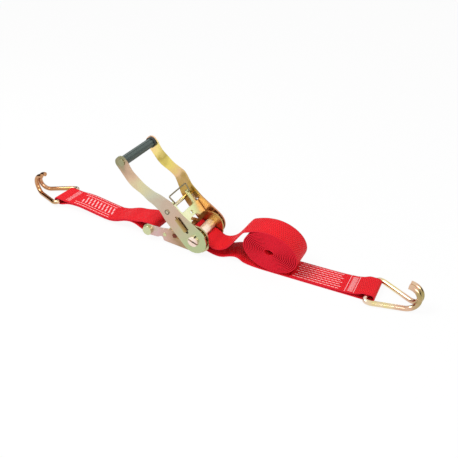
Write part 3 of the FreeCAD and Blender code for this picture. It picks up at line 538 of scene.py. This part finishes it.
def addSprings(name, place, sides, body, node):
    # Wound springs behind a pawl; the mesh keeps its length and is not pressed together as the pawl is
    # drawn back.
    a = math.radians(place["angle"])
    along = Vector((math.cos(a), 0, math.sin(a)))
    outward = Vector((-math.sin(a), 0, math.cos(a)))
    sideways = Vector((0, 1, 0))
    wire = spring["wire"]
    first = place["start"] + wire
    last = place["end"] - wire
    steps = round(spring["turns"] * spring["steps"])
    work = bmesh.new()
    for side in sides:
        rings = []
        for i in range(steps + 1):
            turn = 2 * math.pi * spring["turns"] * i / steps
            spoke = outward * math.cos(turn) + sideways * math.sin(turn)
            middle = (mandrelAxis + sideways * side + along * (first + (last - first) * i / steps)
                      + spoke * spring["radius"])
            ring = []
            for k in range(spring["around"]):
                t = 2 * math.pi * k / spring["around"]
                spot = middle + (spoke * math.cos(t) + along * math.sin(t)) * wire
                ring.append(work.verts.new(spot * mm))
            rings.append(ring)
        for one, two in zip(rings, rings[1:]):
            for k in range(spring["around"]):
                n = (k + 1) % spring["around"]
                work.faces.new((one[k], two[k], two[n], one[n]))
        work.faces.new(rings[0])
        work.faces.new(rings[-1][::-1])
    item = finishPiece(name, work, body, springSteel)
    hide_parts(node)
    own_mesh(item)


springSide = nodeBox("drive_springs")[1].y - spring["radius"] - spring["wire"]
addSprings("drive_spring_coils", driveSpring, (-springSide, springSide), "handle", "drive_springs")
addSprings("lock_spring_coil", lockSpring, (0.0,), "frame", "lock_spring")
addCaps("pawl_ears", pawlEar, (-1, 1), "drive_pawl_slider", plates["pawlEar"])
addCaps("lock_pawl_ears", lockEar, (-1,), "lock_pawl_slider", plates["lockEar"])
addStayRings()
print("metal and plastic done")


web = {"width": 50.0, "thick": 2.3, "gap": 0.1, "step": 3.0, "edge": 0.62, "flat": 2.2,
       "selvedge": ((1.0, 0.93), (0.35, 0.7)), "turnStep": 0.12, "fewest": 3, "closest": 0.05}
halfThick = web["thick"] / 2
ply = web["thick"] + web["gap"]


def webbingMaterial(name, face, side):
    material, tree, shader = newMaterial(name)
    band = add(tree, "ShaderNodeUVMap", uv_map="band").outputs[0]
    cloth = useGroup(tree, weave, {"Vector": band})
    place = add(tree, "ShaderNodeTexCoord").outputs["Object"]
    worn = add(tree, "ShaderNodeTexNoise", {"Vector": place, "Scale": 22.0, "Detail": 3.0})
    # The low parts of the weave are darkened towards a deep red: painted shade in the weave's hollows.
    deep = tone(*[c * 0.64 for c in face])
    color = ramp(tree, cloth.outputs["Height"], [(0.15, deep), (0.75, tone(*face))])
    tint = ramp(tree, worn.outputs[0], [(0.3, (0.9, 0.9, 0.9, 1)), (0.7, (1, 1, 1, 1))])
    color = blendColors(tree, "MULTIPLY", 1.0, color, tint)
    # The selvedges and sides of the band are mixed towards a darker red: partly the band's own darker
    # edge, partly painted shade on faces turned from the lamps.
    edge = calc(tree, "MULTIPLY", cloth.outputs["Edge"], 0.85)
    color = blendColors(tree, "MIX", edge, color, tone(*side))
    # A darker line near each selvedge.
    selvedgeLine = calc(tree, "MULTIPLY", cloth.outputs["SelvedgeLine"], 0.6)
    color = blendColors(tree, "MIX", selvedgeLine, color, tone(*[c * 0.6 for c in side]))
    tree.links.new(color, shader.inputs["Base Color"])
    tree.links.new(cloth.outputs["Normal"], shader.inputs["Normal"])
    tree.links.new(rise(tree, cloth.outputs["Height"], 0.0, 1.0, 0.7, 0.5), shader.inputs["Roughness"])
    shader.inputs["Specular IOR Level"].default_value = 0.18
    return material


# The second colour is the darker red of the band's sides: partly its own edge colour, partly painted
# shade.
redWeb = webbingMaterial("red_webbing", (236, 18, 32), (214, 15, 42))


def threadMaterial(name, color):
    material, tree, shader = newMaterial(name)
    place = add(tree, "ShaderNodeTexCoord").outputs["Object"]
    fine = useGroup(tree, grain, {"Vector": place, "Scale": 1500.0, "Depth": 0.0001})
    dim = tone(*[c * 0.9 for c in color])
    shade = ramp(tree, fine.outputs["Value"], [(0.3, dim), (0.7, tone(*color))])
    tree.links.new(shade, shader.inputs["Base Color"])
    tree.links.new(fine.outputs["Normal"], shader.inputs["Normal"])
    shader.inputs["Roughness"].default_value = 0.7
    return material


thread = threadMaterial("pale_thread", (250, 208, 208))
printInk = threadMaterial("pale_print", (242, 176, 178))


def softCorners(corners, share, limits):
    # The corners eased with tangent curves, each taking up to a share of its sides, or its limit.
    line = [Vector(corners[0])]
    for i in range(1, len(corners) - 1):
        here = Vector(corners[i])
        before = Vector(corners[i - 1]) - here
        after = Vector(corners[i + 1]) - here
        most = limits.get(i, math.inf)
        a = here + before.normalized() * min(before.length * share, most)
        b = here + after.normalized() * min(after.length * share, most)
        turn = math.pi - before.angle(after)
        pieces = max(web["fewest"], int(turn / web["turnStep"]))
        for k in range(pieces + 1):
            t = k / pieces
            line.append(a * (1 - t) ** 2 + here * 2 * t * (1 - t) + b * t ** 2)
    line.append(Vector(corners[-1]))
    return line


def evenly(line, step):
    # Long straight stretches divided, so that the band can be followed by length.
    points = [line[0]]
    for here in line[1:]:
        gap = (here - points[-1]).length
        if gap < web["closest"]:
            continue
        parts = max(1, round(gap / step))
        start = points[-1]
        for k in range(1, parts + 1):
            points.append(start.lerp(here, k / parts))
    return points


class Band:
    # A band whose centre line lies in the XZ plane; lengths in millimetres, width along Y.
    def __init__(self, line, closed=False, place=None):
        self.closed = closed
        self.place = place or Matrix.Identity(4)
        self.line = line
        self.lengths = [0.0]
        for a, b in zip(line, line[1:]):
            self.lengths.append(self.lengths[-1] + (b - a).length)
        self.total = self.lengths[-1] + ((line[0] - line[-1]).length if closed else 0.0)
        self.normals = []
        count = len(line)
        for i in range(count):
            before = line[i - 1] if i or closed else line[0]
            after = line[(i + 1) % count] if i < count - 1 or closed else line[-1]
            along = (after - before).normalized()
            self.normals.append(Vector((-along.y, along.x)))

    def at(self, far, across=0.0, lift=0.0):
        # A point in metres, this far along, this far across and this far off the centre line.
        low, high = 0, len(self.line) - 1
        while low < high - 1:
            i = (low + high) // 2
            if self.lengths[i] <= far:
                low = i
            else:
                high = i
        gap = max(self.lengths[high] - self.lengths[low], 1e-6)
        t = min(max((far - self.lengths[low]) / gap, 0.0), 1.0)
        spot = self.line[low].lerp(self.line[high], t)
        off = self.normals[low].lerp(self.normals[high], t).normalized()
        flat = spot + off * lift
        return self.place @ Vector((flat.x * mm, across * mm, flat.y * mm))

    def where(self, x):
        # How far along the band its centre line first passes this X.
        for i in range(len(self.line) - 1):
            a = self.line[i].x - x
            b = self.line[i + 1].x - x
            if a * b <= 0 and a != b:
                return self.lengths[i] + (self.lengths[i + 1] - self.lengths[i]) * a / (a - b)
        return 0.0


def section():
    # The outline of the band, across and height: flat in the middle and rounded at each selvedge.
    half = web["width"] / 2
    inner = half - web["edge"] * web["flat"]
    columns = [-inner, -inner * 0.5, 0.0, inner * 0.5, inner]
    right = [(half - web["edge"] * w, h * halfThick) for w, h in web["selvedge"]]
    left = [(-w, h) for w, h in reversed(right)]
    top = left + [(w, halfThick) for w in columns] + right
    bottom = [(w, -h) for w, h in reversed(top)]
    return top + [(half, 0.0)] + bottom + [(-half, 0.0)]


def makeBand(name, band, body):
    outline = section()
    around = len(outline)
    work = bmesh.new()
    layer = work.loops.layers.uv.new("band")
    rings = []
    for spot, off in zip(band.line, band.normals):
        ring = []
        for w, h in outline:
            flat = spot + off * h
            ring.append(work.verts.new(band.place @ Vector((flat.x * mm, w * mm, flat.y * mm))))
        rings.append(ring)
    marks = list(band.lengths)
    if band.closed:
        rings.append(rings[0])
        marks.append(band.total)
    for i in range(len(rings) - 1):
        for k in range(around):
            n = (k + 1) % around
            face = work.faces.new((rings[i][k], rings[i + 1][k], rings[i + 1][n], rings[i][n]))
            places = ((marks[i], k), (marks[i + 1], k), (marks[i + 1], n), (marks[i], n))
            for loop, (far, w) in zip(face.loops, places):
                loop[layer].uv = (far * mm, (outline[w][0] + web["width"] / 2) * mm)
    if not band.closed:
        for ring, far in ((rings[0], marks[0]), (rings[-1][::-1], marks[-1])):
            face = work.faces.new(ring)
            for loop in face.loops:
                loop[layer].uv = (far * mm, 0.0)
    return finishPiece(name, work, body, redWeb)


dash = {"length": 6.2, "gap": 0.7, "wide": 0.58, "high": 0.4, "shift": 2.6, "around": 6,
        "taper": ((0.0, 0.35), (0.08, 0.8), (0.5, 1.0), (0.92, 0.8), (1.0, 0.35))}


def stitchMesh(name, band, rows, body, top=1.0):
    # Thread lying in short raised dashes, each tapered at both ends; a row is (start, end, across).
    work = bmesh.new()
    ring = dash["around"]
    for number, (start, end, across) in enumerate(rows):
        far = start + number * dash["shift"] % dash["length"]
        while far + dash["length"] < end:
            frames = []
            for share, size in dash["taper"]:
                loop = []
                for k in range(ring):
                    angle = 2 * math.pi * k / ring
                    w = across + math.cos(angle) * dash["wide"] * size
                    lift = top * (halfThick + math.sin(angle) * dash["high"] * size)
                    loop.append(work.verts.new(band.at(far + share * dash["length"], w, lift)))
                frames.append(loop)
            for a, b in zip(frames, frames[1:]):
                for k in range(ring):
                    n = (k + 1) % ring
                    work.faces.new((a[k], b[k], b[n], a[n]))
            work.faces.new(frames[0])
            work.faces.new(frames[-1][::-1])
            far += dash["length"] + dash["gap"]
    return finishPiece(name, work, body, thread)


ink = {"columns": 6, "stations": 6, "proud": 0.06}


def printMesh(name, band, marks, body, top=1.0):
    # Ink patches just proud of the weave; each mark is (start, end, across start, across end, slant).
    work = bmesh.new()
    columns, stations = ink["columns"], ink["stations"]
    for start, end, left, right, slant in marks:
        grid = []
        for i in range(stations + 1):
            line = []
            for k in range(columns + 1):
                share = k / columns
                far = start + (end - start) * i / stations + slant * share
                across = left + (right - left) * share
                line.append(work.verts.new(band.at(far, across, top * (halfThick + ink["proud"]))))
            grid.append(line)
        for i in range(stations):
            for k in range(columns):
                work.faces.new((grid[i][k], grid[i + 1][k], grid[i + 1][k + 1], grid[i][k + 1]))
    return finishPiece(name, work, body, printInk)


longRun = {"loop": 6.0, "play": 4.3, "throat": 4.2, "neck": 20, "flapEnd": 190.1, "tight": 3.0,
           "share": 0.5}


def longPath():
    bar = hinge("right_hook_swing").x
    mx, mz = mandrelAxis.x, mandrelAxis.z
    low = halfThick
    high = low + 2 * longRun["loop"]
    end = bar + longRun["play"] + longRun["loop"]
    inner = bar - longRun["play"] - longRun["throat"]
    corners = [(longRun["flapEnd"], low + ply), (inner - longRun["neck"], low + ply), (inner, high),
               (end, high), (end, low), (mx + 180, low), (mx + 96, low), (mx + 81, low + 11.5),
               (mx + 66, low + 9), (mx + 48, low + 0.6), (mx + 30, low + 2), (mx + 13, low + 8.2),
               (mx - 6, low + 12), (mx - 19, low + 20), (mx - 19.5, mz + 6.8), (mx - 10.06, mz + 3.8)]
    limits = {2: longRun["tight"], 3: longRun["loop"], 4: longRun["loop"]}
    return softCorners(corners, longRun["share"], limits)


longBand = Band(evenly(longPath(), web["step"]))
longPiece = makeBand("long_webbing", longBand, "frame")
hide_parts("long_strap")


longTrim = {"rows": 8, "firstRow": -20.3, "rowGap": 5.8, "start": 4.0, "stitchEnd": 279.0,
            "longer": 2.0, "labelStart": 287.0, "labelEnd": 302.5, "line": 0.9, "lineHalf": 24,
            "strokes": 14, "firstStroke": -21.0, "strokeGap": 3.0, "stroke": 1.4, "slant": 2.0,
            "inset": (3.6, 3.0)}


def longDetails():
    # Rows of stitches through both plies, and a woven label of plain strokes between two lines.
    trim = longTrim
    last = longBand.where(trim["stitchEnd"])
    rows = []
    for k in range(trim["rows"]):
        across = trim["firstRow"] + k * trim["rowGap"]
        rows.append((trim["start"], last + (k % 2) * trim["longer"], across))
    stitches = stitchMesh("long_webbing_stitches", longBand, rows, "frame")
    marks = []
    ends = [longBand.where(trim["labelStart"]), longBand.where(trim["labelEnd"])]
    for far in ends:
        marks.append((far, far + trim["line"], -trim["lineHalf"], trim["lineHalf"], 0))
    for k in range(trim["strokes"]):
        across = trim["firstStroke"] + k * trim["strokeGap"]
        marks.append((ends[0] + trim["inset"][0], ends[1] - trim["inset"][1], across,
                      across + trim["stroke"], trim["slant"]))
    prints = printMesh("long_webbing_marks", longBand, marks, "frame")
    return [stitches, prints]


longDetails()


coil = {"long": 51.9, "short": 36.9, "tilt": 12.0, "eyeLong": 8.4, "eyeShort": 5.1, "start": 62.0,
        "pitch": 2.34, "rise": 0.55, "chord": 200.0, "finest": 4.0, "coarsest": 14.0}


def coilPath():
    low, high = nodeBox("strap_coil")
    centre = Vector(((low.x + high.x) / 2, (low.z + high.z) / 2 + coil["rise"]))
    tilt = math.radians(coil["tilt"])
    lean = Vector((-math.cos(tilt), math.sin(tilt)))
    upright = Vector((math.sin(tilt), math.cos(tilt)))
    turns = (coil["short"] - coil["eyeShort"]) / coil["pitch"]
    line = []
    degrees = coil["start"]
    end = coil["start"] + 360 * turns
    while degrees < end:
        share = (degrees - coil["start"]) / (end - coil["start"])
        a = coil["long"] + (coil["eyeLong"] - coil["long"]) * share
        b = coil["short"] + (coil["eyeShort"] - coil["short"]) * share
        t = math.radians(degrees)
        line.append(centre + lean * (a * math.cos(t)) + upright * (b * math.sin(t)))
        degrees += max(coil["finest"], min(coil["coarsest"], coil["chord"] / a))
    return line


tailRun = {"share": 0.45, "tight": {6: 3.0}}


def tailPath():
    mx, mz = mandrelAxis.x, mandrelAxis.z
    spiral = coilPath()
    corners = [(mx + 10.06, mz - 3.8), (mx + 22, mz - 8.5), (mx + 31, mz - 15.5), (mx + 45, mz - 14.5),
               (mx + 62, mz - 4), (mx + 84, mz + 28), (mx + 91.5, mz + 37.4), (mx + 106, mz + 43.0),
               (spiral[0].x - 6, spiral[0].y - 0.6), tuple(spiral[0])]
    return softCorners(corners, tailRun["share"], tailRun["tight"]) + spiral[1:]


tailBand = Band(evenly(tailPath(), web["step"]))
tailPiece = makeBand("loose_webbing", tailBand, "frame")
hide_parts("strap_tail", "strap_coil")


slotRun = {"lean": 20.7, "half": 9.6}
slotLean = math.radians(slotRun["lean"])
slotSide = Vector((math.cos(slotLean), -math.sin(slotLean))) * slotRun["half"]
slotMiddle = Vector((mandrelAxis.x, mandrelAxis.z))
wrapLine = [slotMiddle - slotSide, slotMiddle + slotSide]
wrapBand = Band(evenly(wrapLine, 2.0))
wrapPiece = makeBand("mandrel_webbing", wrapBand, "mandrel")
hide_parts("strap_wrap")
print("long webbing", round(longBand.total), "mm and", round(tailBand.total), "mm")


shortRun = {"yaw": 3.3, "bar": -233.0, "loop": 6.0, "play": 4.3, "throat": 2.0, "neck": 18,
            "bolt": 9.95, "entry": -14, "share": 0.5}


def offsetLine(line, lift):
    moved = []
    for i, point in enumerate(line):
        before = Vector(line[max(i - 1, 0)])
        after = Vector(line[min(i + 1, len(line) - 1)])
        along = (after - before).normalized()
        moved.append((point[0] - along.y * lift, point[1] + along.x * lift))
    return moved


def shortPath():
    bz = hinge("short_strap_hinge").z
    bar = shortRun["bar"]
    barZ = hinge("left_hook_swing").z
    big = shortRun["bolt"]
    loop = shortRun["loop"]
    end = bar - shortRun["play"] - loop
    inner = bar + shortRun["play"] + shortRun["throat"]
    entry = shortRun["entry"]
    line = [(inner + shortRun["neck"], barZ + 3.0), (bar + 52, barZ + 5.2), (bar + 78, barZ + 2.5),
            (bar + 111, barZ - 1.6), (bar + 133, barZ - 3.4), (bar + 151, barZ - 0.4), (-58, bz + 0.5),
            (-36, bz + 2.6)]
    upper = offsetLine(line, ply / 2)
    lower = offsetLine(line, -ply / 2)
    corners = [upper[4]] + upper[3::-1]
    corners += [(inner, barZ + loop), (end, barZ + loop), (end, barZ - loop), (inner, barZ - loop)]
    corners += lower + [(entry, bz - big), (big, bz - big), (big, bz + big), (entry, bz + big)]
    corners += upper[:3:-1]
    tight = {}
    for i, (x, z) in enumerate(corners):
        if abs(x - end) < 0.01:
            tight[i] = loop
        if abs(x - big) < 0.01:
            tight[i] = big
    return softCorners(corners, shortRun["share"], tight)


shortLine = evenly(shortPath(), web["step"])
if (shortLine[0] - shortLine[-1]).length < web["step"] * 0.5:
    shortLine.pop()
boltAt = Matrix.Translation(Vector((hinge("short_strap_hinge").x * mm, 0, 0)))
turned = Matrix.Rotation(-math.radians(shortRun["yaw"]), 4, "Z")
shortBand = Band(shortLine, closed=True, place=boltAt @ turned)
shortPiece = makeBand("short_webbing", shortBand, "short_strap_swing")
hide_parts("short_strap")


shortTrim = {"rows": (-21.0, -14.5, 14.5, 21.0), "start": 4.0, "stitchEnd": -196.0, "strokesAt": -104.0,
             "strokes": 19, "strokeGap": 4.2, "stroke": 2.9, "lower": -9.8, "upper": 0.8, "high": 9.0,
             "slant": 2.6, "labelAt": -207.0, "labelWide": 8.0, "line": 0.9, "lineHalf": 21,
             "labelStrokes": 14, "labelRun": (2.4, 6.4), "labelFirst": -19.5, "labelGap": 2.9,
             "labelStroke": 1.3}


def shortDetails():
    # Stitches along both selvedges, two rows of slanted strokes, and a small label of plain strokes.
    trim = shortTrim
    last = shortBand.where(trim["stitchEnd"])
    rows = [(trim["start"], last, across) for across in trim["rows"]]
    stitches = stitchMesh("short_webbing_stitches", shortBand, rows, "short_strap_swing", top=-1.0)
    marks = []
    start = shortBand.where(trim["strokesAt"])
    for k in range(trim["strokes"]):
        far = start + k * trim["strokeGap"]
        low = trim["upper"] if k % 2 else trim["lower"]
        marks.append((far, far + trim["stroke"], low, low + trim["high"], trim["slant"]))
    label = shortBand.where(trim["labelAt"])
    for far in (label, label + trim["labelWide"]):
        marks.append((far, far + trim["line"], -trim["lineHalf"], trim["lineHalf"], 0))
    for k in range(trim["labelStrokes"]):
        across = trim["labelFirst"] + k * trim["labelGap"]
        marks.append((label + trim["labelRun"][0], label + trim["labelRun"][1], across,
                      across + trim["labelStroke"], 0))
    prints = printMesh("short_webbing_marks", shortBand, marks, "short_strap_swing", top=-1.0)
    return [stitches, prints]


shortDetails()
print("short webbing", round(shortBand.total), "mm")


studio = {"floor": 6.0, "below": 0.0002, "world": 0.7, "glow": 0.93, "flag": (54, 44, 34),
          "aim": (0, 0, 0.05)}
flags = {
    "back_flag": [(-1.6, 1.1, 0.02), (0.2, 1.1, 0.02), (0.2, 1.1, 0.36), (-1.6, 1.1, 0.36)],
    "left_flag": [(-1.4, -1.2, 0.02), (-1.4, 1.0, 0.02), (-1.4, 1.0, 0.75), (-1.4, -1.2, 0.75)],
    "right_flag": [(1.5, -0.2, 0.02), (1.5, 1.0, 0.02), (1.5, 1.0, 0.6), (1.5, -0.2, 0.6)],
}
lamps = {"key": ((-0.7, -0.5, 1.5), (0.9, 0.7), 21.0), "fill": ((1.3, -0.9, 0.9), (0.8, 0.6), 9.0)}


def seenRays(tree):
    # 1 for rays from the camera, also reflected or refracted ones, and 0 for diffuse light.
    path = add(tree, "ShaderNodeLightPath")
    direct = calc(tree, "MAXIMUM", path.outputs["Is Camera Ray"], path.outputs["Is Glossy Ray"])
    return calc(tree, "MAXIMUM", direct, path.outputs["Is Transmission Ray"])


def addFloor():
    work = bmesh.new()
    bmesh.ops.create_grid(work, x_segments=2, y_segments=2, size=studio["floor"] / 2)
    mesh = bpy.data.meshes.new("floor")
    work.to_mesh(mesh)
    work.free()
    floor = bpy.data.objects.new("floor", mesh)
    floor.location.z = cadBox[0].z - studio["below"]
    scene.collection.objects.link(floor)
    material, tree, shader = newMaterial("floor_white")
    shader.inputs["Base Color"].default_value = tone(226, 226, 226)
    shader.inputs["Roughness"].default_value = 0.9
    shader.inputs["Specular IOR Level"].default_value = 0.1
    seen = seenRays(tree)
    glow = add(tree, "ShaderNodeEmission", {"Color": (1, 1, 1, 1), "Strength": 1.0})
    share = calc(tree, "MULTIPLY", seen, studio["glow"])
    mixed = add(tree, "ShaderNodeMixShader", {0: share, 1: shader.outputs[0], 2: glow.outputs[0]})
    tree.links.new(mixed.outputs[0], tree.nodes["Material Output"].inputs["Surface"])
    mesh.materials.append(material)


def addWorld():
    world = bpy.data.worlds.new("studio")
    world.use_nodes = True
    tree = world.node_tree
    back = tree.nodes["Background"]
    seen = seenRays(tree)
    strength = calc(tree, "MULTIPLY_ADD", seen, 1.0 - studio["world"], studio["world"])
    tree.links.new(strength, back.inputs["Strength"])
    back.inputs["Color"].default_value = (1, 1, 1, 1)
    scene.world = world


def addLamp(name, place, size, power):
    data = bpy.data.lights.new(name, "AREA")
    data.shape = "RECTANGLE"
    data.size, data.size_y = size
    data.energy = power
    lamp = bpy.data.objects.new(name, data)
    lamp.location = place
    lamp.rotation_euler = (Vector(studio["aim"]) - Vector(place)).to_track_quat("-Z", "Y").to_euler()
    scene.collection.objects.link(lamp)


def addFlag(name, corners):
    # A dark card that only polished metal sees, so that it shows light and shade.
    mesh = bpy.data.meshes.new(name)
    mesh.from_pydata(corners, [], [(0, 1, 2, 3)])
    flag = bpy.data.objects.new(name, mesh)
    scene.collection.objects.link(flag)
    material, tree, shader = newMaterial(name + "_cloth")
    shader.inputs["Base Color"].default_value = tone(*studio["flag"])
    shader.inputs["Roughness"].default_value = 1.0
    shader.inputs["Specular IOR Level"].default_value = 0.0
    mesh.materials.append(material)
    flag.visible_camera = False
    flag.visible_diffuse = False
    flag.visible_shadow = False
    flag.visible_transmission = False


addFloor()
addWorld()
for name, corners in flags.items():
    addFlag(name, corners)
for name, (place, size, power) in lamps.items():
    addLamp(name, place, size, power)
scene.view_settings.view_transform = "Standard"
print("studio done")
